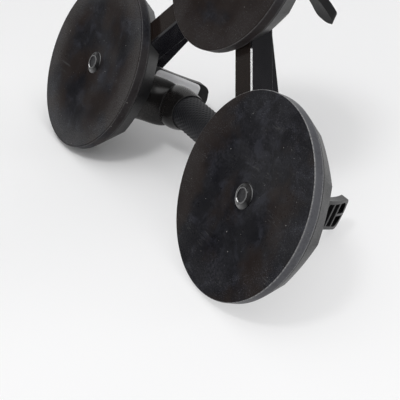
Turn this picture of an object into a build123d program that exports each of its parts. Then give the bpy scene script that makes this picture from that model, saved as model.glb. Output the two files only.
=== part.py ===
from build123d import *
from math import asin, cos, degrees, hypot, pi, radians, sin
import os

# Triple suction cup lifter: three rubber cups in a triangle, each drawn up by its own cam lever,
# two braces to the front cup and a carrying handle that bridges the two base cups.
# Suction faces lie on z = 0, +Z points up through the handle, +X from the left to the right cup
# and -Y to the front cup. The origin is the centre of the footprint. Sizes are in millimetres.

# Layout of the cups
base_pitch = 205.0  # left cup axis to right cup axis
cup_depth = 110.0  # base line to front cup axis

# Fits
running_clearance = 0.05  # radial, pin in its eye and stud in its guide
seat_clearance = 0.05  # radial, parts that are fixed inside one another
cam_clearance = 0.3  # cam to wear plate over the whole travel
lever_side_clearance = 0.3  # lever cheek to the stud's flat

# Rubber suction pad
pad_radius = 59.0  # at the suction face
pad_shoulder_radius = 58.6  # at the top of the rim's side
pad_ridge_radius = 58.0  # at the top of the rubber rim
pad_height = 7.3  # height of the rubber rim
pad_shoulder_drop = 1.0  # sloped shoulder between the rim's side and its top
pad_edge_chamfer = 0.6
pad_land_width = 7.0  # flat sealing land round the face
pad_dish_run = 6.0  # slope from the land down into the dish
pad_dish_depth = 1.6
pad_web_thickness = 3.4  # rubber between the dish and the insert disc
pad_seat_width = 7.3  # ring on top that carries the housing
pad_step_run = 3.0  # slope from that ring down to the web

# Lifting stud, its insert disc and the washer that shows in the middle of the face
insert_disc_radius = 18.0
insert_disc_thickness = 2.0
insert_disc_chamfer = 0.5
stud_radius = 6.0
stud_tail_radius = 4.4
stud_tail_recess = 0.8  # tail end above the washer's face
stud_flat_half_width = 5.0
stud_crown = 6.5  # stud above the pin axis
stud_crown_chamfer = 1.2
washer_radius = 7.5
washer_thickness = 2.4
washer_face_height = 0.15  # washer face above the suction plane
washer_face_radius = 4.9  # its cone runs from this edge out to the dish
washer_edge_proud = 0.1  # washer's outer edge out of the dish's floor

# Housing
facet_count = 10
facet_top_bulge = 0.35  # share of a full arc that is left in each facet's top edge
facet_base_bulge = 0.98  # the same at the bottom edge, which is nearly round
housing_top = 21.0
housing_top_radius = 50.0  # corners of the facets
housing_top_chamfer = 1.0
housing_top_wall = 3.5
housing_cavity_radius = 46.5  # inside, under the top wall
turret_radius = 20.0
turret_height = 5.5
turret_chamfer = 1.0
guide_boss_radius = 11.0
guide_boss_drop = 3.5  # guide boss below the top wall
wear_plate_radius = 17.0
wear_plate_thickness = 1.5

# Cam lever
pin_radius = 3.0
pin_overhang = 0.2  # pin end beyond each cheek
pin_chamfer = 0.4
lever_travel = radians(110.0)
lift = 4.5  # stud lift over that travel
cam_low_height = 7.2  # pin axis to the cam's lowest flank
cam_spline_points = 7
heel_reach = 7.0  # flat heel that stops the lever upright
heel_height = 9.0
lever_face_radius = 87.2  # bend of the outboard face
lever_face_offset = 4.2  # outboard face from the pin axis, level with the pin
lever_length = 60.0  # along the outboard face, from pin to tip
lever_thickness = 5.3
lever_root_height = 12.0  # where the cam nose runs into the arm
lever_back_root_height = 8.0
lever_slot_height = 10.5  # slot for the stud, above the pin
hub_half_width = 11.0
hub_top = 13.0
shoulder_run = 4.5  # hub width down to the arm's width
arm_half_width = 9.7
waist_half_width = 9.3
waist_height = 33.0
tip_half_width = 10.1
tip_height = 50.2  # corners of the tip above the pin
tip_crown = 0.8  # middle of the tip beyond its corners
tip_corner_radius = 4.5
lever_wall = 2.1
lever_back_skin = 1.5
lever_rib = 1.5
lever_cell = 7.1  # along the outboard face, from rib to rib
lever_cells = 3
lever_tip_cell = 10.0  # longer pocket next to the tip, split by a middle rib

# Braces between the front cup and the base cups
brace_width = 15.2
brace_rib_width = 14.4
brace_front_inset = -1.1  # centre line inside the front cup's axis
brace_base_inset = 7.6  # centre line inside the base cup's axis
brace_clearance = 0.3  # brace above the rubber rim
brace_shoulder = 23.4  # top of the wide bar
brace_base_top = 32.4  # top of the rib at its base end
brace_rib_start = 46.0  # front end of the rib, from the front cup's axis
brace_boss_radius = 5.5  # boss on the front tongue, over its screw
brace_boss_top = 25.6
brace_end_radius = 35.0  # tongue ends, from the cup axes
brace_chamfer = 0.9

# Carrying handle
grip_height = 46.0  # grip axis
grip_radius = 11.6
grip_end_round = 1.0
sleeve_offset = 48.5  # end of the grip sleeve from the cup axis, towards the middle of the handle
elbow_reach = 14.0  # elbow over the sleeve's end
elbow_lip = 0.7  # elbow proud of the sleeve at its mouth
elbow_root_setback = 5.0  # widest section of the elbow beyond the sleeve's end
elbow_root_half_width = 14.2
elbow_root_half_height = 12.0
elbow_heel_setback = 12.0  # closed end of the elbow beyond the sleeve's end
elbow_heel_half_width = 12.2
elbow_heel_half_height = 10.5
elbow_heel_round = 4.0
tube_radius = 8.0
tube_wall = 1.5
tube_socket_depth = 8.0
post_shift = 4.3  # post centre behind the cup axes, away from the front cup
foot_offset = 34.5  # foot centre from the cup axis
foot_half_length = 13.0
foot_half_width = 17.2
post_middle_height = 32.0
post_middle_offset = 36.0
post_middle_half_length = 11.0
post_middle_half_width = 16.0
post_shoulder_height = 44.0
post_shoulder_offset = 40.5
post_shoulder_half_length = 7.0
post_shoulder_half_width = 14.8
post_crown_height = 53.5
post_crown_offset = 42.5
post_crown_half_length = 3.5
post_crown_half_width = 6.5

# Screws, driven from inside the housings
screw_radius = 2.2
screw_head_radius = 3.8
screw_head_height = 2.6
screw_hex_radius = 1.9
screw_hex_depth = 1.4
brace_screw_radius = 41.0  # from the cup axis
front_screw_reach = 3.4  # shank beyond the housing top
base_screw_reach = 6.5
handle_screw_reach = 11.0
handle_screw_spacing = 18.0

# Heights and places that follow from the sizes above
pad_web_top = pad_dish_depth + pad_web_thickness
washer_top = washer_face_height + washer_thickness
insert_disc_top = pad_web_top + insert_disc_thickness
turret_top = housing_top + turret_height
wear_plate_top = turret_top + wear_plate_thickness
pin_height = wear_plate_top + cam_clearance + cam_low_height
cam_rate = lift / lever_travel
cheek_gap = stud_flat_half_width + lever_side_clearance
top_wall_underside = housing_top - housing_top_wall
brace_bottom = pad_height + brace_clearance
brace_span = hypot(base_pitch / 2, cup_depth, brace_base_inset - brace_front_inset)
handle_y = cup_depth / 2
post_y = handle_y + post_shift
elbow_y = (handle_y + post_y) / 2
sleeve_half = base_pitch / 2 - sleeve_offset  # sleeve end from the middle of the handle

cups = {
    "left": (-base_pitch / 2, cup_depth / 2, 180.0),
    "right": (base_pitch / 2, cup_depth / 2, 0.0),
    "front": (0.0, -cup_depth / 2, -90.0),
}
base_sides = {"left": -1, "right": 1}


def outboard(cup):
    """The way a cup's lever folds down."""
    angle = radians(cups[cup][2])
    return Vector(cos(angle), sin(angle), 0)


def cup_plane(cup, height):
    """Level plane on a cup's axis, x outboard."""
    x, y, _ = cups[cup]
    return Plane(origin=(x, y, height), x_dir=outboard(cup), z_dir=(0, 0, 1))


def section_plane(cup, height=0.0):
    """Upright plane through a cup's axis, x outboard and y up."""
    x, y, _ = cups[cup]
    out = outboard(cup)
    return Plane(origin=(x, y, height), x_dir=out, z_dir=(out.Y, -out.X, 0))


def front_view_plane(cup, height):
    """Upright plane square to the lever's swing, x sideways and y up."""
    x, y, _ = cups[cup]
    out = outboard(cup)
    return Plane(origin=(x, y, height), x_dir=(-out.Y, out.X, 0), z_dir=out)


def cup_axis(cup):
    x, y, _ = cups[cup]
    return Axis((x, y, 0), (0, 0, 1))


def brace_point(side, cup, inset):
    """Point on the suction plane, an inset from a cup's axis to the inside of the triangle."""
    x, y, _ = cups[cup]
    inward = Vector(-base_sides[side] * cup_depth, base_pitch / 2, 0).normalized()
    return Vector(x, y, 0) + inward * inset


def brace_plane(side):
    """Upright plane along a brace's centre line, x from the front cup to the base cup and y up."""
    start = brace_point(side, "front", brace_front_inset)
    along = (brace_point(side, side, brace_base_inset) - start).normalized()
    return Plane(origin=start, x_dir=along, z_dir=(along.Y, -along.X, 0))


def brace_screw_spot(side, distance):
    """Place of a brace screw, at a distance along the brace from the front cup's axis."""
    spot = brace_plane(side).from_local_coords((distance, 0, 0))
    return (spot.X, spot.Y)


def handle_section(x, y, height):
    """Upright plane square to the handle."""
    return Plane(origin=(x, y, height), x_dir=(0, 1, 0), z_dir=(1, 0, 0))


def foot_x(side, offset):
    return base_sides[side] * (base_pitch / 2 - offset)


def handle_screw_spots(side):
    x = foot_x(side, foot_offset)
    return [(x, post_y - handle_screw_spacing / 2), (x, post_y + handle_screw_spacing / 2)]


front_brace_spots = [brace_screw_spot(side, brace_screw_radius) for side in base_sides]
base_brace_spots = [brace_screw_spot(side, brace_span - brace_screw_radius) for side in base_sides]
handle_spots = [spot for side in base_sides for spot in handle_screw_spots(side)]
housing_screw_spots = {
    "left": [base_brace_spots[0]] + handle_screw_spots("left"),
    "right": [base_brace_spots[1]] + handle_screw_spots("right"),
    "front": front_brace_spots,
}


def facet_outline(radius, bulge):
    """Ring of equal arcs through corners at a radius; a bulge of 1 closes to a full circle."""
    step = 2 * pi / facet_count
    flat_middle = cos(step / 2)
    middle = radius * (flat_middle + bulge * (1 - flat_middle))
    for i in range(facet_count):
        ThreePointArc(
            (radius * cos(i * step), radius * sin(i * step)),
            (middle * cos((i + 0.5) * step), middle * sin((i + 0.5) * step)),
            (radius * cos((i + 1) * step), radius * sin((i + 1) * step)),
        )


def housing_blank(cup):
    """The housing's outside, filled."""
    with BuildPart() as blank:
        with BuildSketch(cup_plane(cup, pad_height)):
            with BuildLine():
                facet_outline(pad_ridge_radius, facet_base_bulge)
            make_face()
        with BuildSketch(cup_plane(cup, housing_top)):
            with BuildLine():
                facet_outline(housing_top_radius, facet_top_bulge)
            make_face()
        loft(ruled=True)
        chamfer(blank.faces().sort_by(Axis.Z)[-1].edges(), housing_top_chamfer)
        with BuildSketch(cup_plane(cup, housing_top)):
            Circle(turret_radius)
        extrude(amount=turret_height)
        chamfer(blank.faces().sort_by(Axis.Z)[-1].edges(), turret_chamfer)
    return blank.part


def cam_point(turn):
    """Cam flank whose distance from the pin to the plate grows evenly as the lever turns."""
    reach = cam_low_height + cam_rate * turn
    return (
        reach * sin(turn) + cam_rate * cos(turn),
        -reach * cos(turn) + cam_rate * sin(turn),
    )


def lever_outline(inset):
    """Lever seen from outboard: wide hub, waisted arm and flared tip."""
    hub = hub_half_width - inset
    arm = arm_half_width - inset
    waist = waist_half_width - inset
    tip = tip_half_width - inset
    top = tip_height - inset
    corner = tip_corner_radius
    corner_middle = corner * (1 - cos(pi / 4))
    floor = -2 * heel_height
    Line((-hub, floor), (hub, floor))
    for half in (-1, 1):
        Line((half * hub, floor), (half * hub, hub_top))
        Line((half * hub, hub_top), (half * arm, hub_top + shoulder_run))
        ThreePointArc(
            (half * arm, hub_top + shoulder_run), (half * waist, waist_height), (half * tip, top - corner)
        )
        ThreePointArc(
            (half * tip, top - corner),
            (half * (tip - corner_middle), top - corner_middle),
            (half * (tip - corner), top),
        )
    ThreePointArc((corner - tip, top), (0, top + tip_crown), (tip - corner, top))


lever_bend_centre = (lever_face_offset - lever_face_radius, 0)
lever_back_radius = lever_face_radius - lever_thickness
lever_tip_angle = degrees(lever_length / lever_face_radius)


def lever_sector(inner, outer, start, end):
    """Part of the lever's bend between two radii and two angles."""
    low = CenterArc(lever_bend_centre, inner, start, end - start)
    high = CenterArc(lever_bend_centre, outer, start, end - start)
    Line(low @ 0, high @ 0)
    Line(low @ 1, high @ 1)


def lever_pocket(cup):
    """The hollow in the lever's outboard face, with its lattice of ribs left out."""
    floor_radius = lever_back_radius + lever_back_skin
    mouth_radius = lever_face_radius + lever_thickness
    last = degrees(asin((tip_height - lever_wall) / lever_face_radius))
    tip_rib = last - degrees(lever_tip_cell / lever_face_radius)
    cell = degrees(lever_cell / lever_face_radius)
    half_rib = degrees(lever_rib / lever_face_radius) / 2
    with BuildPart() as pocket:
        with BuildSketch(section_plane(cup, pin_height)):
            with BuildLine():
                lever_sector(floor_radius, mouth_radius, tip_rib - lever_cells * cell, lever_tip_angle)
            make_face()
        extrude(amount=hub_half_width, both=True)
        with BuildSketch(front_view_plane(cup, pin_height)):
            with BuildLine():
                lever_outline(lever_wall)
            make_face()
        extrude(amount=lever_face_radius, both=True, mode=Mode.INTERSECT)
        for i in range(lever_cells):
            angle = tip_rib - cell * i
            with BuildSketch(section_plane(cup, pin_height)):
                with BuildLine():
                    lever_sector(floor_radius, mouth_radius, angle - half_rib, angle + half_rib)
                make_face()
            extrude(amount=hub_half_width, both=True, mode=Mode.SUBTRACT)
        with BuildSketch(section_plane(cup, pin_height)):
            with BuildLine():
                lever_sector(floor_radius, mouth_radius, tip_rib, lever_tip_angle)
            make_face()
        extrude(amount=lever_rib / 2, both=True, mode=Mode.SUBTRACT)
    return pocket.part


def write(piece, name):
    piece.label = name
    export_step(piece, f"parts/{name}.step")


os.makedirs("parts", exist_ok=True)

for cup in cups:
    # Rubber disc with a thick rim, a shallow dish in its face and a thin web in the middle
    tail_hole = stud_tail_radius + seat_clearance
    washer_recess = washer_radius + seat_clearance
    dish_edge = pad_radius - pad_land_width
    seat_edge = pad_ridge_radius - pad_seat_width
    with BuildPart() as pad:
        with BuildSketch(section_plane(cup)):
            with BuildLine():
                Polyline(
                    (washer_recess, pad_dish_depth),
                    (dish_edge - pad_dish_run, pad_dish_depth),
                    (dish_edge, 0),
                    (pad_radius - pad_edge_chamfer, 0),
                    (pad_radius, pad_edge_chamfer),
                    (pad_shoulder_radius, pad_height - pad_shoulder_drop),
                    (pad_ridge_radius, pad_height),
                    (seat_edge, pad_height),
                    (seat_edge - pad_step_run, pad_web_top),
                    (tail_hole, pad_web_top),
                    (tail_hole, washer_top),
                    (washer_recess, washer_top),
                    close=True,
                )
            make_face()
        revolve(axis=cup_axis(cup))
    write(pad.part, f"{cup}_suction_pad")

    # Conical washer in the middle of the suction face
    with BuildPart() as washer:
        with BuildSketch(section_plane(cup)):
            with BuildLine():
                Polyline(
                    (tail_hole, washer_top),
                    (washer_radius, washer_top),
                    (washer_radius, pad_dish_depth - washer_edge_proud),
                    (washer_face_radius, washer_face_height),
                    (tail_hole, washer_face_height),
                    close=True,
                )
            make_face()
        revolve(axis=cup_axis(cup))
    write(washer.part, f"{cup}_centre_washer")

    # Steel disc bonded to the top of the web
    with BuildPart() as disc:
        with BuildSketch(cup_plane(cup, pad_web_top)):
            Circle(insert_disc_radius)
            Circle(tail_hole, mode=Mode.SUBTRACT)
        extrude(amount=insert_disc_thickness)
        disc_rim = disc.edges().filter_by(GeomType.CIRCLE).sort_by(SortBy.RADIUS)[-2:]
        chamfer(disc_rim.sort_by(Axis.Z)[-1], insert_disc_chamfer)
    write(disc.part, f"{cup}_insert_disc")

    # Round stud with a thin tail below, two flats and a cross eye above
    stud_top = pin_height + stud_crown
    stud_flat_start = wear_plate_top - lift
    stud_tail_end = washer_face_height + stud_tail_recess
    with BuildPart() as stud:
        with BuildSketch(section_plane(cup)):
            with BuildLine():
                Polyline(
                    (0, stud_tail_end),
                    (stud_tail_radius, stud_tail_end),
                    (stud_tail_radius, insert_disc_top),
                    (stud_radius, insert_disc_top),
                    (stud_radius, stud_top - stud_crown_chamfer),
                    (stud_radius - stud_crown_chamfer, stud_top),
                    (0, stud_top),
                    close=True,
                )
            make_face()
        revolve(axis=cup_axis(cup))
        with BuildSketch(cup_plane(cup, stud_flat_start)):
            with Locations((0, stud_flat_half_width + stud_radius), (0, -stud_flat_half_width - stud_radius)):
                Rectangle(4 * stud_radius, 2 * stud_radius)
        extrude(amount=stud_top, mode=Mode.SUBTRACT)
        with BuildSketch(section_plane(cup, pin_height)):
            Circle(pin_radius + running_clearance)
        extrude(amount=stud_radius, both=True, mode=Mode.SUBTRACT)
    write(stud.part, f"{cup}_lift_stud")

    # Faceted housing, hollow above the pad, with the stud's guide in its turret
    with BuildPart() as housing:
        add(housing_blank(cup))
        with BuildSketch(section_plane(cup)):
            with BuildLine():
                Polyline(
                    (0, pad_height),
                    (seat_edge, pad_height),
                    (housing_cavity_radius, top_wall_underside),
                    (guide_boss_radius, top_wall_underside),
                    (guide_boss_radius, top_wall_underside - guide_boss_drop),
                    (0, top_wall_underside - guide_boss_drop),
                    close=True,
                )
            make_face()
        revolve(axis=cup_axis(cup), mode=Mode.SUBTRACT)
        with BuildSketch(cup_plane(cup, pad_height)):
            Circle(stud_radius + running_clearance)
        extrude(amount=turret_top, mode=Mode.SUBTRACT)
        with BuildSketch(Plane.XY.offset(top_wall_underside)):
            with Locations(*housing_screw_spots[cup]):
                Circle(screw_radius + seat_clearance)
        extrude(amount=housing_top_wall, mode=Mode.SUBTRACT)
    write(housing.part, f"{cup}_housing")

    # Steel plate that the cam bears on
    with BuildPart() as wear_plate:
        with BuildSketch(cup_plane(cup, turret_top)):
            Circle(wear_plate_radius)
            Circle(stud_radius + cam_clearance, mode=Mode.SUBTRACT)
        extrude(amount=wear_plate_thickness)
    write(wear_plate.part, f"{cup}_wear_plate")

    # Lever with a forked cam hub, bent inboard towards its tip and ribbed on its outboard face
    with BuildPart() as lever:
        cam_turns = [lever_travel * i / (cam_spline_points - 1) for i in range(cam_spline_points)]
        outer_root = degrees(asin(lever_root_height / lever_face_radius))
        inner_root = degrees(asin(lever_back_root_height / lever_back_radius))
        with BuildSketch(section_plane(cup, pin_height)):
            with BuildLine():
                cam = Spline(
                    *[cam_point(turn) for turn in cam_turns],
                    tangents=[(1, 0), (cos(lever_travel), sin(lever_travel))],
                )
                outer = CenterArc(
                    lever_bend_centre, lever_face_radius, outer_root, lever_tip_angle - outer_root
                )
                inner = CenterArc(
                    lever_bend_centre, lever_back_radius, inner_root, lever_tip_angle - inner_root
                )
                Line(cam @ 1, outer @ 0)
                Line(outer @ 1, inner @ 1)
                Polyline(
                    inner @ 0,
                    (-heel_reach, heel_height - cam_low_height),
                    (-heel_reach, -cam_low_height),
                    cam @ 0,
                )
            make_face()
        extrude(amount=hub_half_width, both=True)
        with BuildSketch(front_view_plane(cup, pin_height)):
            with BuildLine():
                lever_outline(0)
            make_face()
        extrude(amount=lever_face_radius, both=True, mode=Mode.INTERSECT)
        with BuildSketch(front_view_plane(cup, pin_height)):
            with Locations((0, lever_slot_height - lever_face_radius / 2)):
                Rectangle(2 * cheek_gap, lever_face_radius)
        extrude(amount=lever_face_radius, both=True, mode=Mode.SUBTRACT)
        with BuildSketch(section_plane(cup, pin_height)):
            Circle(pin_radius + seat_clearance)
        extrude(amount=2 * hub_half_width, both=True, mode=Mode.SUBTRACT)
        add(lever_pocket(cup), mode=Mode.SUBTRACT)
    write(lever.part, f"{cup}_lever")

    # Hinge pin through the lever's cheeks and the stud's eye
    with BuildPart() as pin:
        with BuildSketch(section_plane(cup, pin_height)):
            Circle(pin_radius)
        extrude(amount=hub_half_width + pin_overhang, both=True)
        chamfer(pin.edges().filter_by(GeomType.CIRCLE), pin_chamfer)
    write(pin.part, f"{cup}_lever_pin")

for side, sign in base_sides.items():
    # Brace: a wide bar with a rising rib on top, whose tongues lie on the two housings
    brace_start = brace_end_radius
    brace_end = brace_span - brace_end_radius
    with BuildPart() as brace:
        with BuildSketch(brace_plane(side)):
            with BuildLine():
                Polyline(
                    (brace_start, brace_bottom),
                    (brace_end, brace_bottom),
                    (brace_end, brace_shoulder),
                    (brace_start, brace_shoulder),
                    close=True,
                )
            make_face()
        extrude(amount=brace_width / 2, both=True)
        long_edges = brace.edges().filter_by(Axis((0, 0, 0), brace_plane(side).x_dir))
        chamfer(long_edges.group_by(Axis.Z)[0], brace_chamfer)
        with BuildSketch(brace_plane(side)):
            with BuildLine():
                Polyline(
                    (brace_rib_start, brace_shoulder),
                    (brace_end, brace_shoulder),
                    (brace_end, brace_base_top),
                    close=True,
                )
            make_face()
        extrude(amount=brace_rib_width / 2, both=True)
        with BuildSketch(Plane.XY.offset(brace_shoulder)):
            with Locations(brace_screw_spot(side, brace_screw_radius)):
                Circle(brace_boss_radius)
        extrude(amount=brace_boss_top - brace_shoulder)
        add(housing_blank("front"), mode=Mode.SUBTRACT)
        add(housing_blank(side), mode=Mode.SUBTRACT)
        with BuildSketch(Plane.XY.offset(housing_top)):
            with Locations(brace_screw_spot(side, brace_screw_radius)):
                Circle(screw_radius + seat_clearance)
        extrude(amount=front_screw_reach, mode=Mode.SUBTRACT)
        with BuildSketch(Plane.XY.offset(housing_top)):
            with Locations(brace_screw_spot(side, brace_span - brace_screw_radius)):
                Circle(screw_radius + seat_clearance)
        extrude(amount=base_screw_reach, mode=Mode.SUBTRACT)
    write(brace.part, f"{side}_brace")

    # Handle post: an oval foot on the housing that rises into an elbow round the sleeve's end
    mouth = handle_section(sign * (sleeve_half - elbow_reach), handle_y, grip_height)
    socket = handle_section(sign * sleeve_half, handle_y, grip_height)
    root = handle_section(sign * (sleeve_half + elbow_root_setback), elbow_y, grip_height)
    heel = handle_section(sign * (sleeve_half + elbow_heel_setback), elbow_y, grip_height)
    with BuildPart() as post:
        with BuildSketch(mouth):
            Circle(grip_radius + elbow_lip)
        with BuildSketch(root):
            Ellipse(elbow_root_half_width, elbow_root_half_height)
        with BuildSketch(heel):
            Ellipse(elbow_heel_half_width, elbow_heel_half_height)
        loft()
        fillet(post.faces().sort_by(Axis.X, reverse=sign < 0)[-1].edges(), elbow_heel_round)
        with BuildSketch(Plane((foot_x(side, foot_offset), post_y, housing_top))):
            Ellipse(foot_half_length, foot_half_width)
        with BuildSketch(Plane((foot_x(side, post_middle_offset), post_y, post_middle_height))):
            Ellipse(post_middle_half_length, post_middle_half_width)
        with BuildSketch(Plane((foot_x(side, post_shoulder_offset), post_y, post_shoulder_height))):
            Ellipse(post_shoulder_half_length, post_shoulder_half_width)
        with BuildSketch(Plane((foot_x(side, post_crown_offset), post_y, post_crown_height))):
            Ellipse(post_crown_half_length, post_crown_half_width)
        loft()
        with BuildSketch(socket):
            Circle(tube_radius + seat_clearance)
        extrude(amount=sign * tube_socket_depth, mode=Mode.SUBTRACT)
        with BuildSketch(mouth):
            Circle(grip_radius + seat_clearance)
        extrude(amount=sign * elbow_reach, mode=Mode.SUBTRACT)
        with BuildSketch(Plane.XY.offset(housing_top)):
            with Locations(*handle_screw_spots(side)):
                Circle(screw_radius + seat_clearance)
        extrude(amount=handle_screw_reach, mode=Mode.SUBTRACT)
    write(post.part, f"{side}_handle_post")

# Steel tube between the posts
handle_middle = handle_section(0, handle_y, grip_height)
with BuildPart() as tube:
    with BuildSketch(handle_middle):
        Circle(tube_radius)
        Circle(tube_radius - tube_wall, mode=Mode.SUBTRACT)
    extrude(amount=sleeve_half + tube_socket_depth, both=True)
write(tube.part, "handle_tube")

# Soft sleeve on the tube
with BuildPart() as grip:
    with BuildSketch(handle_middle):
        Circle(grip_radius)
    extrude(amount=sleeve_half, both=True)
    fillet(grip.edges().filter_by(GeomType.CIRCLE), grip_end_round)
    with BuildSketch(handle_middle):
        Circle(tube_radius + seat_clearance)
    extrude(amount=sleeve_half, both=True, mode=Mode.SUBTRACT)
write(grip.part, "handle_grip")


def screws(groups):
    """Socket screws with their heads under the housings' top walls; each group has its own reach."""
    with BuildPart() as group:
        for spots, reach in groups:
            with BuildSketch(Plane.XY.offset(top_wall_underside)):
                with Locations(*spots):
                    Circle(screw_radius)
            extrude(amount=housing_top_wall + reach)
            with BuildSketch(Plane.XY.offset(top_wall_underside)):
                with Locations(*spots):
                    Circle(screw_head_radius)
            extrude(amount=-screw_head_height)
            with BuildSketch(Plane.XY.offset(top_wall_underside - screw_head_height)):
                with Locations(*spots):
                    RegularPolygon(screw_hex_radius, 6)
            extrude(amount=screw_hex_depth, mode=Mode.SUBTRACT)
    return group.part


write(screws([(front_brace_spots, front_screw_reach), (base_brace_spots, base_screw_reach)]), "brace_screws")
write(screws([(handle_spots, handle_screw_reach)]), "handle_screws")
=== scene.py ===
import math

import bpy
import numpy as np
from mathutils import Matrix, Vector


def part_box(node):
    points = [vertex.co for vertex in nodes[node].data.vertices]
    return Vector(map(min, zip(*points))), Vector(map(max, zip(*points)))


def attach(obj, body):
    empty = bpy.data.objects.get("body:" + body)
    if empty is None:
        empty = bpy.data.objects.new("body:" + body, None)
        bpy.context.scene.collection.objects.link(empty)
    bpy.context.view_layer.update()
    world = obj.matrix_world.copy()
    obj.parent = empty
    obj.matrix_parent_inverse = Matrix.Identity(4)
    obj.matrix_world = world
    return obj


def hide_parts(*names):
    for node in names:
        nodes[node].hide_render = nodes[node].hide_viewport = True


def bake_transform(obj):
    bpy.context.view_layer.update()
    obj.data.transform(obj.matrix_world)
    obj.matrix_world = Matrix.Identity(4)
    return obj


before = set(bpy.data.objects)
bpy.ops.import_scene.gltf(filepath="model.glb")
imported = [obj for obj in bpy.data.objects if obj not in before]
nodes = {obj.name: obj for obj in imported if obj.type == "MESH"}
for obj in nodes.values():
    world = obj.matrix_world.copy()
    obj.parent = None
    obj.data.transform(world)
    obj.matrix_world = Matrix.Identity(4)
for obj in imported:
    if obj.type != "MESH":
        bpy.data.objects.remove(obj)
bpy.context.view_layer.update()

# Looks of the triple suction cup lifter. Sizes are in millimetres where a name or a comment doesn't
# say otherwise, and MM turns them into the scene's metres.
MM = 0.001

CUPS = ("left", "right", "front")
BASE_SIDES = ("left", "right")
OUTBOARD = {"left": Vector((-1, 0, 0)), "right": Vector((1, 0, 0))}


def node_middle(node):
    """Middle of a node's box, in metres."""
    low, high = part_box(node)
    return (low + high) / 2


class Look:
    """A procedural material, built node by node."""

    def __init__(self, name):
        self.material = bpy.data.materials.new(name)
        self.material.use_nodes = True
        self.tree = self.material.node_tree
        self.tree.nodes.clear()
        self.shader = self.node("ShaderNodeBsdfPrincipled")
        output = self.node("ShaderNodeOutputMaterial")
        self.tree.links.new(self.shader.outputs["BSDF"], output.inputs["Surface"])
        where = self.node("ShaderNodeTexCoord")
        self.place = where.outputs["Object"]
        self.normal = where.outputs["Normal"]

    def node(self, kind, **values):
        made = self.tree.nodes.new(kind)
        for key, value in values.items():
            self.put(made, key.replace("_", " "), value)
        return made

    def put(self, node, socket, value):
        if isinstance(value, bpy.types.NodeSocket):
            self.tree.links.new(value, node.inputs[socket])
        else:
            node.inputs[socket].default_value = value

    def set(self, socket, value):
        self.put(self.shader, socket, value)

    def moved(self, scale=(1, 1, 1), turn=(0, 0, 0), shift=(0, 0, 0)):
        node = self.node("ShaderNodeMapping", Vector=self.place)
        node.inputs["Scale"].default_value = scale
        node.inputs["Rotation"].default_value = turn
        node.inputs["Location"].default_value = shift
        return node.outputs["Vector"]

    def axis(self, vector, letter):
        """One coordinate of a vector."""
        return self.node("ShaderNodeSeparateXYZ", Vector=vector).outputs[letter]

    def painted(self, name):
        """A value kept on the mesh's points."""
        node = self.node("ShaderNodeAttribute")
        node.attribute_name = name
        return node.outputs["Fac"]

    def noise(self, size, detail=3.0, roughness=0.5, where=None, warp=0.0):
        """Cloudy values with a typical feature size."""
        node = self.node(
            "ShaderNodeTexNoise",
            Vector=where or self.place,
            Scale=1.0 / (size * MM),
            Detail=detail,
            Roughness=roughness,
            Distortion=warp,
        )
        return node.outputs["Fac"]

    def remap(self, value, low, high, to_low=0.0, to_high=1.0):
        """Smooth step of a value from one range to another."""
        node = self.node("ShaderNodeMapRange")
        node.interpolation_type = "SMOOTHSTEP"
        self.put(node, "Value", value)
        node.inputs["From Min"].default_value = low
        node.inputs["From Max"].default_value = high
        node.inputs["To Min"].default_value = to_low
        node.inputs["To Max"].default_value = to_high
        return node.outputs["Result"]

    def math(self, operation, a, b=0.0):
        node = self.node("ShaderNodeMath")
        node.operation = operation
        for index, value in enumerate((a, b)):
            if isinstance(value, bpy.types.NodeSocket):
                self.tree.links.new(value, node.inputs[index])
            else:
                node.inputs[index].default_value = value
        return node.outputs["Value"]

    def mix(self, factor, a, b):
        node = self.node("ShaderNodeMixRGB")
        for socket, value in (("Fac", factor), ("Color1", a), ("Color2", b)):
            if isinstance(value, tuple):
                value = (*value, 1.0)
            self.put(node, socket, value)
        return node.outputs["Color"]

    def specks(self, pitch, size, share):
        """Scattered dots: one in each cell of a pitch, only in a share of the cells."""
        node = self.node("ShaderNodeTexVoronoi", Vector=self.place, Scale=1.0 / (pitch * MM))
        dot = self.remap(node.outputs["Distance"], size, size * 0.5)
        split = self.node("ShaderNodeSeparateColor", Color=node.outputs["Color"])
        chosen = self.math("GREATER_THAN", split.outputs["Red"], 1.0 - share)
        return self.math("MULTIPLY", dot, chosen)

    def scratches(self, turn, width, cover):
        """Thin, nearly straight streaks along one direction, in patches."""
        along = self.moved(scale=(1.0, 14.0, 1.0), turn=turn)
        wave = self.noise(60.0, detail=2.0, where=along)
        line = self.remap(self.math("ABSOLUTE", self.math("SUBTRACT", wave, 0.5)), width, 0.0)
        patch = self.remap(self.noise(16.0, detail=2.0), cover, cover + 0.08)
        return self.math("MULTIPLY", line, patch)

    def bump(self, height, distance, normal=None):
        node = self.node("ShaderNodeBump", Height=height, Distance=distance * MM)
        node.inputs["Strength"].default_value = 1.0
        if normal is not None:
            self.put(node, "Normal", normal)
        return node.outputs["Normal"]

    def rounded(self, radius):
        """Normals that turn smoothly over sharp edges."""
        node = self.node("ShaderNodeBevel", Radius=radius * MM)
        node.samples = 6
        return node.outputs["Normal"]

    def edges(self, rounded):
        """1 on sharp edges, where rounded normals leave the faces' own, and 0 on the faces."""
        node = self.node("ShaderNodeVectorMath")
        node.operation = "DOT_PRODUCT"
        self.tree.links.new(rounded, node.inputs[0])
        self.tree.links.new(self.node("ShaderNodeNewGeometry").outputs["Normal"], node.inputs[1])
        return self.remap(node.outputs["Value"], 0.995, 0.90)


# Stretches of X, in metres, over which the rubber's looks change from cup to cup
LEFT_TO_FRONT = (-0.075, -0.045)
FRONT_TO_RIGHT = (0.045, 0.085)
RIGHT_OUTER_HALF = (0.095, 0.135)


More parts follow.
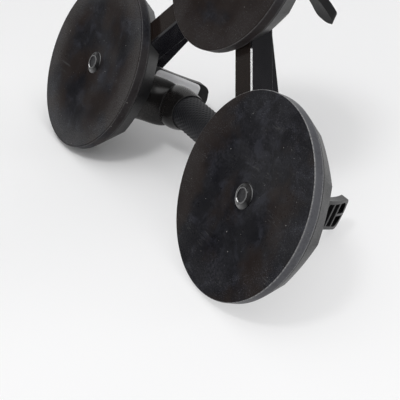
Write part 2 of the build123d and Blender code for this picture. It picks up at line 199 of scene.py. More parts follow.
def rubber_look():
    """Black vulcanised rubber: satin and dusty, with specks, scratches, brown tint, chalky dust and
    painted light on the rim, and abrasion with painted highlight on the edges.
    """
    look = Look("pad_rubber")
    clouds = look.noise(30.0, detail=4.0, roughness=0.6)
    fine = look.noise(1.6, detail=4.0, roughness=0.6)
    dust = look.math("MULTIPLY", look.remap(clouds, 0.42, 0.66), look.remap(fine, 0.35, 0.70))
    colour = look.mix(dust, (0.0042, 0.0042, 0.0064), (0.0245, 0.0248, 0.0315))
    smudges = look.noise(13.0, detail=3.0, roughness=0.6, warp=0.8, where=look.moved(shift=(5, 2, 1)))
    colour = look.mix(look.remap(smudges, 0.50, 0.70, 0.0, 0.8), colour, (0.0220, 0.0228, 0.0305))
    # Brown tint, in patches, is strongest on the front cup, then on the left one and on the outer half
    # of the right one
    along = look.axis(look.place, "X")
    patches = look.noise(22.0, detail=3.0, where=look.moved(shift=(3, 1, 7)))
    patches = look.math("ADD", patches, look.remap(along, *LEFT_TO_FRONT, 0.11, 0.27))
    patches = look.math("SUBTRACT", patches, look.remap(along, *FRONT_TO_RIGHT, 0.0, 0.34))
    patches = look.math("ADD", patches, look.remap(along, *RIGHT_OUTER_HALF, 0.0, 0.14))
    brown_tint = look.remap(patches, 0.5, 0.72)
    colour = look.mix(brown_tint, colour, (0.0130, 0.0086, 0.0076))
    # Chalky dust on the rim, partly painted light: palest on one side of each cup and on the right cup
    chalk_and_light = look.math("MULTIPLY", look.painted("rim_chalk_and_painted_light"), look.remap(fine, 0.25, 0.7, 0.6, 1.0))
    colour = look.mix(chalk_and_light, colour, (0.074, 0.075, 0.084))
    lines = look.math(
        "MAXIMUM",
        look.scratches((0.4, 0.2, 0.5), 0.010, 0.56),
        look.scratches((0.1, 0.3, 2.2), 0.008, 0.60),
    )
    colour = look.mix(look.math("MULTIPLY", lines, 0.55), colour, (0.060, 0.059, 0.060))
    dots = look.math("MAXIMUM", look.specks(7.0, 0.055, 0.30), look.specks(2.4, 0.085, 0.10))
    colour = look.mix(dots, colour, (0.34, 0.33, 0.32))
    dusty = look.remap(clouds, 0.38, 0.62, 0.25, 0.9)
    powder = look.math("MULTIPLY", look.specks(1.7, 0.13, 0.30), dusty)
    colour = look.mix(powder, colour, (0.15, 0.15, 0.155))
    # Fine grit, thickest on the land, which is the lowest part of the face
    low = look.remap(look.axis(look.place, "Z"), 0.0003, 0.00003, 0.16, 1.0)
    gathered = look.math("MULTIPLY", low, look.remap(smudges, 0.36, 0.62, 0.25, 1.0))
    grit = look.remap(look.noise(0.75, detail=2.0, roughness=0.7), 0.55, 0.70)
    grit = look.math("MULTIPLY", grit, gathered)
    colour = look.mix(grit, colour, (0.072, 0.072, 0.080))
    # Land dust, and abrasion with a painted highlight along the edge and the shoulder of the rim
    broken = look.remap(look.noise(0.9, detail=3.0, roughness=0.7), 0.34, 0.62, 0.30, 1.0)
    wear_and_highlight = look.math("MULTIPLY", look.painted("painted_highlight_and_wear"), broken)
    colour = look.mix(wear_and_highlight, colour, (0.27, 0.27, 0.272))
    look.set("Base Color", colour)
    rough = look.remap(clouds, 0.3, 0.75, 0.30, 0.42)
    rough = look.math("ADD", rough, look.math("MULTIPLY", lines, 0.15))
    look.set("Roughness", look.math("ADD", rough, look.remap(fine, 0.3, 0.7, -0.05, 0.07)))
    # Sheen is patchy, grows from the left cup to the right one, and fades on the right cup's +Y side
    greasy = look.noise(34.0, detail=2.0, where=look.moved(shift=(1, 6, 2)))
    greasy = look.remap(greasy, 0.36, 0.62, 0.4, 1.15)
    sheen = look.math("MULTIPLY", look.remap(along, -0.08, 0.06, 0.10, 0.20), greasy)
    back = look.remap(look.axis(look.place, "Y"), 0.05, 0.10)
    dulled = look.math("MULTIPLY", back, look.remap(along, 0.0, 0.05, 0.0, 0.5))
    look.set("Specular IOR Level", look.math("MULTIPLY", sheen, look.math("SUBTRACT", 1.0, dulled)))
    grain = look.math("ADD", look.noise(0.7, detail=3.0), look.math("MULTIPLY", look.noise(9.0), 3.0))
    look.set("Normal", look.bump(grain, 0.035))
    return look.material


def moulded_look(name, dark, light, rough, edge, grain, level, down_reflection=None):
    """Black injection-moulded plastic with a fine spark-eroded grain and lighter edges, partly from
    rubbing and partly painted highlight.

    rough is a range, edge the radius of the edges, grain the depth of the grain, level that of the
    specular reflection, and the last argument the colour of faces that look down, where it differs: a
    painted reflection."""
    look = Look(name)
    clouds = look.noise(26.0, detail=4.0, roughness=0.6)
    fine = look.noise(0.9, detail=3.0)
    colour = look.mix(look.remap(clouds, 0.35, 0.7), dark, light)
    # Painted reflection: faces that look down take a brown colour
    if down_reflection:
        colour = look.mix(look.remap(look.axis(look.normal, "Z"), -0.7, -0.95), colour, down_reflection)
    rounded = look.rounded(edge)
    # Edges painted lighter: partly rubbing, partly painted highlight
    worn_and_highlit = look.math("MULTIPLY", look.edges(rounded), look.remap(fine, 0.3, 0.6, 0.3, 0.8))
    colour = look.mix(worn_and_highlit, colour, (0.075, 0.075, 0.078))
    dots = look.specks(6.0, 0.05, 0.18)
    look.set("Base Color", look.mix(dots, colour, (0.25, 0.245, 0.24)))
    spread = look.remap(clouds, 0.3, 0.7, *rough)
    look.set("Roughness", look.math("ADD", spread, look.remap(fine, 0.3, 0.7, -0.04, 0.05)))
    look.set("Specular IOR Level", level)
    look.set("Normal", look.bump(fine, grain, rounded))
    return look.material


def eyelet_look():
    """Glossy black enamel on the centre eyelet, with painted highlights on the crest, one side and the
    foot, and a painted glint.
    """
    look = Look("eyelet_enamel")
    clouds = look.noise(6.0, detail=4.0, roughness=0.6)
    fine = look.noise(0.5, detail=3.0)
    colour = look.mix(look.remap(clouds, 0.35, 0.7), (0.004, 0.004, 0.0045), (0.009, 0.009, 0.0095))
    # Painted highlights on the crest, one side and the foot, and a white painted glint
    wear_and_highlight = look.math("MULTIPLY", look.painted("painted_highlight_and_wear"), look.remap(fine, 0.35, 0.6, 0.7, 1.0))
    colour = look.mix(wear_and_highlight, colour, (0.34, 0.34, 0.345))
    look.set("Base Color", look.mix(look.painted("painted_glint"), colour, (0.92, 0.92, 0.93)))
    look.set("Roughness", look.remap(clouds, 0.3, 0.7, 0.08, 0.15))
    look.set("Specular IOR Level", 0.26)
    look.set("Normal", look.bump(fine, 0.003))
    return look.material


def grip_look():
    """Soft black grip rubber, matt, a little lighter in cloudy patches."""
    look = Look("grip_rubber")
    clouds = look.noise(18.0, detail=4.0, roughness=0.6)
    fine = look.noise(0.8, detail=3.0)
    look.set(
        "Base Color",
        look.mix(look.remap(clouds, 0.4, 0.7), (0.0075, 0.0078, 0.0098), (0.0165, 0.0168, 0.0195)),
    )
    rough = look.remap(clouds, 0.3, 0.7, 0.42, 0.56)
    look.set("Roughness", look.math("ADD", rough, look.math("MULTIPLY", fine, 0.06)))
    look.set("Specular IOR Level", 0.36)
    look.set("Normal", look.bump(fine, 0.04))
    return look.material


def steel_look(name, dark, light, rough):
    """Steel with turned marks and dull patches."""
    look = Look(name)
    clouds = look.noise(5.0, detail=4.0, roughness=0.6)
    turned = look.noise(0.5, detail=2.0, where=look.moved(scale=(0.2, 0.2, 3.0)))
    look.set("Base Color", look.mix(look.remap(clouds, 0.35, 0.65), dark, light))
    look.set("Metallic", 1.0)
    spread = look.remap(clouds, 0.3, 0.7, rough, rough + 0.16)
    look.set("Roughness", look.math("ADD", spread, look.math("MULTIPLY", turned, 0.08)))
    look.set("Normal", look.bump(turned, 0.01, look.rounded(0.35)))
    return look.material


def stud_look():
    """Blackened stud end, dull and dusty."""
    look = Look("stud_black")
    clouds = look.noise(2.2, detail=4.0, roughness=0.65)
    colour = look.mix(look.remap(clouds, 0.35, 0.7), (0.010, 0.010, 0.0115), (0.029, 0.029, 0.032))
    look.set("Base Color", colour)
    look.set("Roughness", look.remap(clouds, 0.3, 0.7, 0.42, 0.62))
    look.set("Normal", look.bump(look.noise(0.4), 0.02))
    return look.material


def inlay_look():
    """Pale satin plate, faintly brushed along the lever."""
    look = Look("inlay_satin")
    brushed = look.noise(0.6, detail=3.0, where=look.moved(scale=(1.0, 1.0, 0.08)))
    clouds = look.noise(14.0, detail=3.0)
    colour = look.mix(look.remap(clouds, 0.35, 0.7), (0.60, 0.60, 0.615), (0.67, 0.67, 0.68))
    look.set("Base Color", colour)
    look.set("Roughness", look.remap(brushed, 0.3, 0.7, 0.34, 0.46))
    look.set("Normal", look.bump(brushed, 0.006))
    return look.material


RUBBER = rubber_look()
HOUSING = moulded_look(
    "housing_plastic", (0.009, 0.009, 0.0098), (0.015, 0.0147, 0.0152),
    rough=(0.36, 0.46), edge=0.5, grain=0.02, level=0.28,
)
LEVER = moulded_look(
    "lever_plastic", (0.010, 0.010, 0.0108), (0.016, 0.0157, 0.0162),
    rough=(0.31, 0.41), edge=0.45, grain=0.004, level=0.40,
)
DULL_LEVER = moulded_look(
    "lever_plastic_dull", (0.012, 0.012, 0.0128), (0.020, 0.0197, 0.0202),
    rough=(0.50, 0.60), edge=0.45, grain=0.02, level=0.14,
)
# The brace's faces that look down carry a brown painted reflection
BRACE = moulded_look(
    "brace_plastic", (0.0075, 0.0074, 0.0092), (0.0120, 0.0118, 0.0142),
    rough=(0.07, 0.13), edge=0.4, grain=0.005, level=0.42, down_reflection=(0.0135, 0.0092, 0.0075),
)
POST = moulded_look(
    "post_plastic", (0.0070, 0.0066, 0.0066), (0.012, 0.0108, 0.0102),
    rough=(0.16, 0.28), edge=0.6, grain=0.008, level=0.24,
)
EYELET = eyelet_look()
GRIP = grip_look()
STEEL = steel_look("plated_steel", (0.36, 0.35, 0.34), (0.56, 0.55, 0.54), 0.24)
PIN = steel_look("pin_steel", (0.36, 0.30, 0.27), (0.52, 0.46, 0.43), 0.28)
STUD = stud_look()
INLAY = inlay_look()


def dress(node, material):
    shown = nodes[node].data
    shown.materials.clear()
    shown.materials.append(material)


for cup in CUPS:
    dress(f"{cup}_suction_pad", RUBBER)
    dress(f"{cup}_centre_washer", EYELET)
    dress(f"{cup}_insert_disc", STEEL)
    dress(f"{cup}_lift_stud", STUD)
    dress(f"{cup}_housing", HOUSING)
    dress(f"{cup}_wear_plate", STEEL)
    dress(f"{cup}_lever", DULL_LEVER if cup == "front" else LEVER)
    dress(f"{cup}_lever_pin", PIN)
for side in BASE_SIDES:
    dress(f"{side}_brace", BRACE)
    dress(f"{side}_handle_post", POST)
dress("handle_tube", STEEL)
dress("handle_grip", GRIP)
dress("brace_screws", STEEL)
dress("handle_screws", STEEL)


def make_mesh(name, points, faces, material):
    mesh = bpy.data.meshes.new(name)
    mesh.from_pydata([tuple(p) for p in points], [], faces)
    mesh.polygons.foreach_set("use_smooth", [True] * len(mesh.polygons))
    mesh.materials.append(material)
    mesh.update()
    piece = bpy.data.objects.new(name, mesh)
    bpy.context.scene.collection.objects.link(piece)
    return piece


def paint(piece, name, values):
    """Keeps one value per point on a piece's mesh."""
    kept = piece.data.attributes.new(name, "FLOAT", "POINT")
    kept.data.foreach_set("value", values)


def ring_faces(rings, around):
    """Quads between consecutive rings of points, with the last ring joined to the first."""
    faces = []
    for i in range(rings):
        a = i * around
        b = (i + 1) % rings * around
        for j in range(around):
            k = (j + 1) % around
            faces.append((a + j, b + j, b + k, a + k))
    return faces


def arc(centre, radius, start, end, count):
    """Points on a corner's round, angles in degrees."""
    angles = np.radians(np.linspace(start, end, count))
    return [(centre[0] + radius * math.cos(a), centre[1] + radius * math.sin(a)) for a in angles]


def steps(start, end, count):
    """Points on a straight line, without its two ends."""
    share = np.linspace(0, 1, count + 2)[1:-1]
    return [(start[0] + (end[0] - start[0]) * s, start[1] + (end[1] - start[1]) * s) for s in share]


def smooth(value):
    """Smooth step of a share, held between 0 and 1."""
    value = min(max(value, 0.0), 1.0)
    return value * value * (3 - 2 * value)


def facing(turn, middle, spread):
    """Share that falls off to both sides of a direction, in degrees."""
    apart = abs((turn - middle + 180) % 360 - 180)
    return smooth(1 - apart / spread)


SHARP_CORNER = math.radians(70)  # steeper corners keep a sharp edge


def lathe(name, section, cup, around, material):
    """A closed section of radius and height, turned about a cup's axis."""
    middle = node_middle(f"{cup}_suction_pad")
    points = []
    for radius, height in section:
        for j in range(around):
            angle = 2 * math.pi * j / around
            points.append((
                middle.x + radius * MM * math.cos(angle),
                middle.y + radius * MM * math.sin(angle),
                height * MM,
            ))
    piece = make_mesh(name, points, ring_faces(len(section), around), material)
    piece.data.set_sharp_from_angle(angle=SHARP_CORNER)
    return piece


# Rubber pads: a rim that stays, and inside it a web, which in the real pad domes up as the stud rises.
# They meet flush where the land starts. The web's bowl is deepest in the middle.
pad_low, pad_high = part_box("right_suction_pad")
PAD_RADIUS = (pad_high.x - pad_low.x) / 2 / MM
PAD_TOP = pad_high.z / MM
PAD_EDGE_ROUND = 0.65
PAD_EDGE_INSET = 0.05  # of the edge from the CAD pad's
PAD_SHOULDER_RADIUS = 58.6
PAD_DISH = 2.3
PAD_LAND_START = 52.5
PAD_WEB_TOP = 5.0
RECESS_RADIUS = 7.6
RECESS_TOP = 2.55
TAIL_HOLE = 4.45
LIP_ROUND = 0.25
LIP_WIDTH = 0.3
WEB_BACK_INSET = 0.8  # of the web's hidden upper side from its rim
WEB_LEAST = 0.03  # thickness at its rim
WEB_BORE_HEIGHT = 1.2
PAD_SIDE_DROP = 1.35  # from the pad's top to the end of its side
PAD_RIDGE_DROPS = (0.45, 0.2)  # from the end of the side to the ridge where wear starts again
PAD_SHOULDER_ROUND = 0.85
PAD_CROWN_INSET = 1.1
PAD_CROWN_ROUND = 0.5
PAD_SEAT_RADII = (56.0, 53.0, 50.7)
PAD_AROUND = 176
# Shares of the paint that differ from cup to cup: land dust, as one has been used more than another, and
# abrasion and chalky dust with painted highlight and painted light on the edge and the rim, strongest on
# the right cup
LAND_DUST = {"left": 0.18, "right": 0.02, "front": 0.05}
EDGE_WEAR_AND_HIGHLIGHT = {"left": 0.25, "right": 1.0, "front": 0.3}
RIM_CHALK_AND_LIGHT = {"left": 0.22, "right": 1.0, "front": 0.16}
EDGE_LINE = (0.0, 0.0, 0.25, 0.75, 1.0, 1.0, 0.9, 0.55, 0.25)  # abrasion and painted highlight across the round of the edge
# share of abrasion and painted highlight on the ridge, shoulder and crown
SHOULDER_WEAR_AND_HIGHLIGHT = 0.5
CHALK_AND_LIGHT_FROM = 5  # place in EDGE_LINE where the chalky dust and painted light of the rim start
LIT_SIDE = -35  # degrees round the axis from +X, where painted light makes the rim palest
LIT_SIDE_SPREAD = 75
LIT_SIDE_LEAST = 0.85
LIT_SIDE_EXTRA = 0.4
DUST_START = 36.0  # radius where the dust on the face starts, and how far on it is thickest
DUST_RAMP = 22.0


def bowl(radius):
    """Share of a bowl's depth, from 1 on the axis to 0 where the land starts."""
    return (1 + math.cos(math.pi * min(radius / PAD_LAND_START, 1.0))) / 2


def dish_height(radius):
    """Height of the shallow bowl in the face."""
    return PAD_DISH * bowl(radius)


def face_dust(cup, points):
    """Points of the face, with the dust that lies towards the rim, and no chalky dust and no painted
    light.
    """
    most = LAND_DUST[cup]
    return [(point, most * smooth((point[0] - DUST_START) / DUST_RAMP), 0.0) for point in points]


def web_section(cup):
    """Radius and height round the web's section from the recess outwards, with abrasion and painted
    highlight, and chalky dust and painted light.
    """
    dish_radii = np.linspace(RECESS_RADIUS + LIP_WIDTH, PAD_LAND_START, num=54)
    dish = [(r, dish_height(r)) for r in dish_radii]
    back_radii = np.linspace(PAD_LAND_START - WEB_BACK_INSET, TAIL_HOLE, num=24)
    back = [(r, PAD_WEB_TOP * bowl(r) + WEB_LEAST) for r in back_radii]
    bore = [(TAIL_HOLE, RECESS_TOP + WEB_BORE_HEIGHT), (TAIL_HOLE, RECESS_TOP)]
    bore.append((RECESS_RADIUS, RECESS_TOP))
    lip_middle = (RECESS_RADIUS + LIP_ROUND, dish_height(RECESS_RADIUS) + LIP_ROUND)
    lip = arc(lip_middle, LIP_ROUND, 180, 270, count=5)
    return face_dust(cup, dish) + [(point, 0.0, 0.0) for point in back + bore + lip]


def rim_section(cup):
    """Radius and height round the rim's section from the web outwards, with abrasion and painted
    highlight, and chalky dust and painted light.
    """
    flat_end = PAD_RADIUS - PAD_EDGE_ROUND - PAD_EDGE_INSET
    land = [(PAD_LAND_START, 0.0)] + steps((PAD_LAND_START, 0.0), (flat_end, 0.0), count=8)
    edge = arc((flat_end, PAD_EDGE_ROUND), PAD_EDGE_ROUND, -90, 0, count=len(EDGE_LINE))
    side_top = PAD_TOP - PAD_SIDE_DROP
    side = steps(edge[-1], (PAD_SHOULDER_RADIUS, side_top), count=6)
    ridge = [(PAD_SHOULDER_RADIUS, side_top - drop) for drop in PAD_RIDGE_DROPS]
    shoulder_middle = (PAD_SHOULDER_RADIUS - PAD_SHOULDER_ROUND, side_top)
    shoulder = arc(shoulder_middle, PAD_SHOULDER_ROUND, 0, 70, count=6)
    crown_middle = (PAD_SHOULDER_RADIUS - PAD_CROWN_INSET, PAD_TOP - PAD_CROWN_ROUND)
    crown = arc(crown_middle, PAD_CROWN_ROUND, 60, 90, count=3)
    # The edge and the shoulder carry abrasion with a painted highlight, the rim chalky dust with painted
    # light
    line = [EDGE_WEAR_AND_HIGHLIGHT[cup] * share for share in EDGE_LINE]
    chalk_and_light = RIM_CHALK_AND_LIGHT[cup]
    section = face_dust(cup, land)
    for i, (point, wear_and_highlight) in enumerate(zip(edge, line)):
        section.append((point, wear_and_highlight, chalk_and_light * (i >= CHALK_AND_LIGHT_FROM)))
    section += [(point, 0.0, chalk_and_light) for point in side + ridge[:1]]
    shoulder_share = SHOULDER_WEAR_AND_HIGHLIGHT * EDGE_WEAR_AND_HIGHLIGHT[cup]
    section += [(point, shoulder_share, chalk_and_light) for point in ridge[1:] + shoulder + crown]
    return section + [((radius, PAD_TOP), 0.0, 0.0) for radius in PAD_SEAT_RADII]


def make_rubber(name, section, cup):
    piece = lathe(name, [point for point, _, _ in section], cup, PAD_AROUND, RUBBER)
    paint(piece, "painted_highlight_and_wear", [wear_and_highlight for _, wear_and_highlight, _ in section for _ in range(PAD_AROUND)])
    turns = [360 * j / PAD_AROUND for j in range(PAD_AROUND)]
    # Painted light: the rim's paint is palest on one side of the cup
    pale = [LIT_SIDE_LEAST + LIT_SIDE_EXTRA * facing(turn, LIT_SIDE, LIT_SIDE_SPREAD) for turn in turns]
    paint(piece, "rim_chalk_and_painted_light", [chalk_and_light * share for _, _, chalk_and_light in section for share in pale])
    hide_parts(f"{cup}_suction_pad")
    return piece


def make_pad(cup):
    rim = make_rubber(f"{cup}_pad_rim", rim_section(cup), cup)
    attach(rim, "frame")
    web = make_rubber(f"{cup}_pad_web", web_section(cup), cup)
    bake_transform(web)


# Eyelet in the middle of each face: a black cone with a hollow flank and a round crest
EYELET_RADIUS = 7.5
EYELET_CREST = 4.35
EYELET_CREST_HEIGHT = 0.15
EYELET_CREST_ROUND = 0.42
EYELET_BORE_START = 0.6
EYELET_FLANK_POWER = 1.6  # above 1, the flank is hollow
EYELET_AROUND = 96
FOOT_SUNK = 0.1
STUD_END = 0.95
STUD_GAP = 0.03
RECESS_GAP = 0.05
# Places of painted highlight, in degrees round the axis from +X, how far they spread, and the shares of
# the paint
HIGHLIT_SIDE = 130
HIGHLIT_SIDE_SPREAD = 120
HIGHLIT_SIDE_SHARE = 0.6
HIGHLIT_FOOT = 310
HIGHLIT_FOOT_SPREAD = 60
HIGHLIT_FOOT_FADE = 0.35  # from one ring of points to the next
HIGHLIT_CREST_SHARE = 0.48
GLINT_TURN = 112
GLINT_SPREAD = 20
GLINT_FROM = 4  # rings past the flank


def make_eyelet(cup):
    foot = (EYELET_RADIUS, dish_height(EYELET_RADIUS) - FOOT_SUNK)
    crest_middle = (EYELET_CREST, EYELET_CREST_HEIGHT + EYELET_CREST_ROUND)
    crest = arc(crest_middle, EYELET_CREST_ROUND, 0, -180, count=9)
    flank = []
    for s in np.linspace(0, 1, num=14):
        radius = foot[0] + (crest[0][0] - foot[0]) * s
        flank.append((radius, foot[1] + (crest[0][1] - foot[1]) * s ** EYELET_FLANK_POWER))
    bore = EYELET_CREST - EYELET_CREST_ROUND
    stud_seat = STUD_END - STUD_GAP
    top = RECESS_TOP - RECESS_GAP
    inside = [(bore, EYELET_BORE_START), (bore, stud_seat)]
    hidden = [(TAIL_HOLE, stud_seat), (TAIL_HOLE, top), (EYELET_RADIUS, top)]
    section = flank + crest[1:] + inside + hidden
    eyelet = lathe(f"{cup}_centre_eyelet", section, cup, EYELET_AROUND, EYELET)
    # Painted highlights on the flank, foot and crest, and a painted glint on the crest
    worn_and_highlit = []
    painted_glint = []
    for i in range(len(section)):
        on_flank = i < len(flank)
        on_crest = len(flank) <= i < len(flank) + len(crest) - 1
        glinted = on_crest and i >= len(flank) + GLINT_FROM
        foot_share = max(1.0 - HIGHLIT_FOOT_FADE * i, 0.0)
        for j in range(EYELET_AROUND):
            turn = 360 * j / EYELET_AROUND
            side = facing(turn, HIGHLIT_SIDE, HIGHLIT_SIDE_SPREAD) * HIGHLIT_SIDE_SHARE * on_flank
            foot_line = facing(turn, HIGHLIT_FOOT, HIGHLIT_FOOT_SPREAD) * foot_share
            worn_and_highlit.append(max(side, foot_line, HIGHLIT_CREST_SHARE * on_crest))
            painted_glint.append(float(glinted and abs(turn - GLINT_TURN) < GLINT_SPREAD))
    paint(eyelet, "painted_highlight_and_wear", worn_and_highlit)
    paint(eyelet, "painted_glint", painted_glint)
    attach(eyelet, f"{cup}_plunger")
    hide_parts(f"{cup}_centre_washer")


# Pale plate on the inboard face of the two base levers
LEVER_BACK_RADIUS = 81.9
LEVER_BEND_OFFSET = -83.0  # centre of the bend from the pin's axis, outboard
INLAY_HALF_WIDTH = 9.0
INLAY_CORNER = 3.0
INLAY_START = 14.0  # along the bend, above the pin
INLAY_END = 47.5
INLAY_PROUD = 0.2
INLAY_SUNK = 0.15


def inlay_half_width(along):
    """Half width of the plate, drawn in over its rounded ends."""
    near_end = min(along - INLAY_START, INLAY_END - along)
    short = max(INLAY_CORNER - near_end, 0.0)
    return INLAY_HALF_WIDTH - INLAY_CORNER + math.sqrt(max(INLAY_CORNER ** 2 - short ** 2, 0.0))


def make_inlay(cup):
    pin = node_middle(f"{cup}_lever_pin")
    out = OUTBOARD[cup]
    across = Vector((-out.y, out.x, 0))
    ends = arc((0.0, 0.0), 1.0, 180, 90, count=8)
    start = [INLAY_START + INLAY_CORNER * (1 + c) for c, _ in ends]
    middle = np.linspace(INLAY_START + INLAY_CORNER, INLAY_END - INLAY_CORNER, num=24)[1:-1]
    stations = start + list(middle) + [INLAY_START + INLAY_END - s for s in reversed(start)]
    columns = np.linspace(-1, 1, num=9)
    rows = len(stations)
    points = []
    for radius in (LEVER_BACK_RADIUS - INLAY_PROUD, LEVER_BACK_RADIUS + INLAY_SUNK):
        for along in stations:
            angle = along / LEVER_BACK_RADIUS
            place = pin + out * (LEVER_BEND_OFFSET + radius * math.cos(angle)) * MM
            place.z += radius * math.sin(angle) * MM
            for c in columns:
                points.append(place + across * inlay_half_width(along) * c * MM)
    count = len(columns)
    faces = []
    for i in range(rows - 1):
        for j in range(count - 1):
            a = i * count + j
            faces.append((a, a + 1, a + count + 1, a + count))
            b = a + rows * count
            faces.append((b, b + count, b + count + 1, b + 1))
    border = list(range(count))
    border += [i * count + count - 1 for i in range(1, rows)]
    border += [(rows - 1) * count + j for j in range(count - 2, -1, -1)]
    border += [i * count for i in range(rows - 2, 0, -1)]
    for a, b in zip(border, border[1:] + border[:1]):
        faces.append((b, a, a + rows * count, b + rows * count))
    inlay = make_mesh(f"{cup}_lever_inlay", points, faces, INLAY)
    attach(inlay, f"{cup}_lever_arm")


for cup in CUPS:
    make_pad(cup)
    make_eyelet(cup)
for cup in BASE_SIDES:
    make_inlay(cup)

# Grip sleeve with staggered rows of small raised dots
SLEEVE_RADIUS = 11.25
SLEEVE_BORE = 8.1
SLEEVE_END_ROUND = 0.9
SLEEVE_BORE_CHAMFER = 0.4
SLEEVE_FACE_INSET = 0.2
SLEEVE_END_GAP = 0.1
DOT_PITCH = 2.5
DOT_HEIGHT = 0.34
DOT_RADIUS = 0.40  # in pitches, and the width of its slope
DOT_SLOPE = 0.22
DOT_MARGIN = 3.0  # bare length at each end
SLEEVE_AROUND = 176
SLEEVE_STATIONS = 217
ROW_SHARE = math.sqrt(3) / 2  # rows of a triangular pattern, in pitches


def sleeve_rings(half):
    """Places along the handle, each with its radii round the sleeve."""
    angles = 2 * np.pi * np.arange(SLEEVE_AROUND) / SLEEVE_AROUND
    dots_round = round(2 * math.pi * SLEEVE_RADIUS / DOT_PITCH)
    even = np.ones(SLEEVE_AROUND)
    end = [
        (half - SLEEVE_END_ROUND, even * SLEEVE_BORE),
        (half, even * (SLEEVE_BORE + SLEEVE_BORE_CHAMFER)),
        (half, even * (SLEEVE_RADIUS - SLEEVE_END_ROUND - SLEEVE_FACE_INSET)),
    ]
    rings = [(-s, radii) for s, radii in end]
    for s in np.linspace(-half, half, SLEEVE_STATIONS):
        past = max(abs(s) - (half - SLEEVE_END_ROUND), 0.0)
        drop = SLEEVE_END_ROUND - math.sqrt(SLEEVE_END_ROUND ** 2 - past ** 2)
        row = (s + half) / (DOT_PITCH * ROW_SHARE)
        nearest = round(row)
        across = (row - nearest) * ROW_SHARE
        turn = angles * dots_round / (2 * np.pi) + 0.5 * (nearest % 2)
        distance = np.hypot(turn - np.round(turn), across)
        dot = np.clip((DOT_RADIUS - distance) / DOT_SLOPE, 0, 1)
        dot = dot * dot * (3 - 2 * dot) * (abs(s) < half - DOT_MARGIN)
        rings.append((s, SLEEVE_RADIUS - drop + DOT_HEIGHT * dot))
    return rings + list(reversed(end))


def make_grip():
    low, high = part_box("handle_grip")
    middle = (low + high) / 2
    rings = sleeve_rings((high.x - low.x) / 2 / MM - SLEEVE_END_GAP)
    points = []
    for s, radii in rings:
        for j, r in enumerate(radii):
            angle = 2 * math.pi * j / SLEEVE_AROUND
            y = middle.y + r * MM * math.sin(angle)
            z = middle.z + r * MM * math.cos(angle)
            points.append((s * MM, y, z))
    grip = make_mesh("grip_sleeve", points, ring_faces(len(rings), SLEEVE_AROUND), GRIP)
    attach(grip, "frame")
    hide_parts("handle_grip")


make_grip()

# Floor that the lifter leans on: a plane on its +Y side, tilted about X. Distances in metres.
FLOOR_TILT = math.radians(30.6)
FLOOR_OFFSET = 0.1016
FLOOR_SPAN = 2.2
FLOOR_UP = Vector((0.0, -math.cos(FLOOR_TILT), -math.sin(FLOOR_TILT)))


def floor_look():
    """White paper that glows a little, more so towards +X, clear from behind and to shadow rays."""
    look = Look("floor_paper")
    tree = look.tree
    tree.nodes.remove(look.shader)
    output = tree.nodes["Material Output"]
    paper = look.node("ShaderNodeBsdfDiffuse", Color=(0.91, 0.91, 0.915, 1.0))
    along = look.axis(look.place, "X")
    tone = look.mix(look.remap(along, -0.15, 0.15), (0.85, 0.85, 0.855), (0.965, 0.965, 0.97))
    glow = look.node("ShaderNodeEmission", Color=tone)
    clear = look.node("ShaderNodeBsdfTransparent")
    path = look.node("ShaderNodeLightPath").outputs
    seen = look.math("MAXIMUM", path["Is Camera Ray"], path["Is Glossy Ray"])
    seen = look.math("MAXIMUM", seen, path["Is Transmission Ray"])
    share = look.remap(along, -0.06, 0.10, 0.06, 0.57)
    lit = look.node("ShaderNodeMixShader", Fac=look.math("MULTIPLY", seen, share))
    tree.links.new(paper.outputs["BSDF"], lit.inputs[1])
    tree.links.new(glow.outputs["Emission"], lit.inputs[2])
    behind = look.node("ShaderNodeNewGeometry").outputs["Backfacing"]
    hidden = look.node("ShaderNodeMixShader", Fac=look.math("MAXIMUM", behind, path["Is Shadow Ray"]))
    tree.links.new(lit.outputs["Shader"], hidden.inputs[1])
    tree.links.new(clear.outputs["BSDF"], hidden.inputs[2])
    tree.links.new(hidden.outputs["Shader"], output.inputs["Surface"])
    return look.material


def make_floor():
    side_way = Vector((1.0, 0.0, 0.0))
    back_way = FLOOR_UP.cross(side_way)
    corners = []
    for a, b in ((-1, -1), (1, -1), (1, 1), (-1, 1)):
        corners.append(-FLOOR_UP * FLOOR_OFFSET + (side_way * a + back_way * b) * FLOOR_SPAN)
    floor = make_mesh("studio_floor", corners, [(0, 1, 2, 3)], floor_look())
    if floor.data.polygons[0].normal.dot(FLOOR_UP) < 0:
        floor.data.flip_normals()


make_floor()

# Camera, solved from the outlines of the three round faces; its place is in metres
RIGHT = Vector((0.4628, -0.3995, 0.7913))
DOWN = Vector((0.4419, 0.8778, 0.1848))
AHEAD = Vector((-0.7685, 0.2642, 0.5828))
CAMERA_PLACE = Vector((0.5968, -0.1069, -0.3987))
LENS = 108.65
SENSOR = 36.0


def make_camera():
    data = bpy.data.cameras.new("camera")
    data.sensor_width = SENSOR
    data.sensor_fit = "HORIZONTAL"
    data.lens = LENS
    data.clip_start = 0.01
    camera = bpy.data.objects.new("camera", data)
    turn = Matrix((RIGHT, -DOWN, -AHEAD)).transposed().to_4x4()
    camera.matrix_world = Matrix.Translation(CAMERA_PLACE) @ turn
    bpy.context.scene.collection.objects.link(camera)
    bpy.context.scene.camera = camera


make_camera()

LAMP_AIM = Vector((0.0, 0.0, 0.02))  # in metres


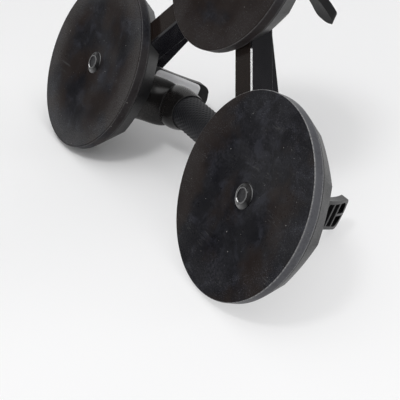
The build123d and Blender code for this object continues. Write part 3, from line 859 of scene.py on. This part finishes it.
def softbox(name, way, distance, side, level):
    """Square area light that faces the object, in metres; level is how bright the object sees it."""
    data = bpy.data.lights.new(name, "AREA")
    data.shape = "SQUARE"
    data.size = side
    data.energy = level * math.pi * side * side
    lamp = bpy.data.objects.new(name, data)
    way = Vector(way).normalized()
    lamp.location = LAMP_AIM + way * distance
    lamp.rotation_euler = way.to_track_quat("Z", "Y").to_euler()
    bpy.context.scene.collection.objects.link(lamp)


OVERHEAD_WAY = FLOOR_UP + Vector((0.1, -0.1, 0.1))
softbox("overhead_softbox", OVERHEAD_WAY, distance=1.5, side=1.6, level=0.5)
softbox("front_softbox", (-0.16, -0.42, -0.88), distance=1.4, side=1.2, level=0.4)
softbox("key_softbox", (0.20, -0.64, -0.74), distance=1.1, side=0.2, level=22.5)
softbox("side_softbox", (0.66, -0.55, 0.45), distance=1.2, side=0.45, level=3.0)
softbox("top_softbox", (0.1, 0.35, 1.0), distance=1.3, side=1.2, level=0.9)

# Brightness of the room straight ahead and to the sides, and between which shares aside it changes
ROOM_AHEAD = 0.92
ROOM_ASIDE = 0.24
ROOM_DIMS_FROM = 0.45
ROOM_DIMS_TO = 0.92


def make_world():
    """A white room that is darker to both sides of the photo's view."""
    world = bpy.data.worlds.new("studio")
    bpy.context.scene.world = world
    world.use_nodes = True
    tree = world.node_tree
    tree.nodes.clear()
    where = tree.nodes.new("ShaderNodeTexCoord")
    dot = tree.nodes.new("ShaderNodeVectorMath")
    dot.operation = "DOT_PRODUCT"
    dot.inputs[1].default_value = RIGHT
    aside = tree.nodes.new("ShaderNodeMath")
    aside.operation = "ABSOLUTE"
    level = tree.nodes.new("ShaderNodeMapRange")
    level.interpolation_type = "SMOOTHSTEP"
    level.inputs["From Min"].default_value = ROOM_DIMS_FROM
    level.inputs["From Max"].default_value = ROOM_DIMS_TO
    level.inputs["To Min"].default_value = ROOM_AHEAD
    level.inputs["To Max"].default_value = ROOM_ASIDE
    backdrop = tree.nodes.new("ShaderNodeBackground")
    output = tree.nodes.new("ShaderNodeOutputWorld")
    tree.links.new(where.outputs["Generated"], dot.inputs[0])
    tree.links.new(dot.outputs["Value"], aside.inputs[0])
    tree.links.new(aside.outputs["Value"], level.inputs["Value"])
    tree.links.new(level.outputs["Result"], backdrop.inputs["Strength"])
    tree.links.new(backdrop.outputs["Background"], output.inputs["Surface"])


make_world()
bpy.context.scene.view_settings.view_transform = "Standard"
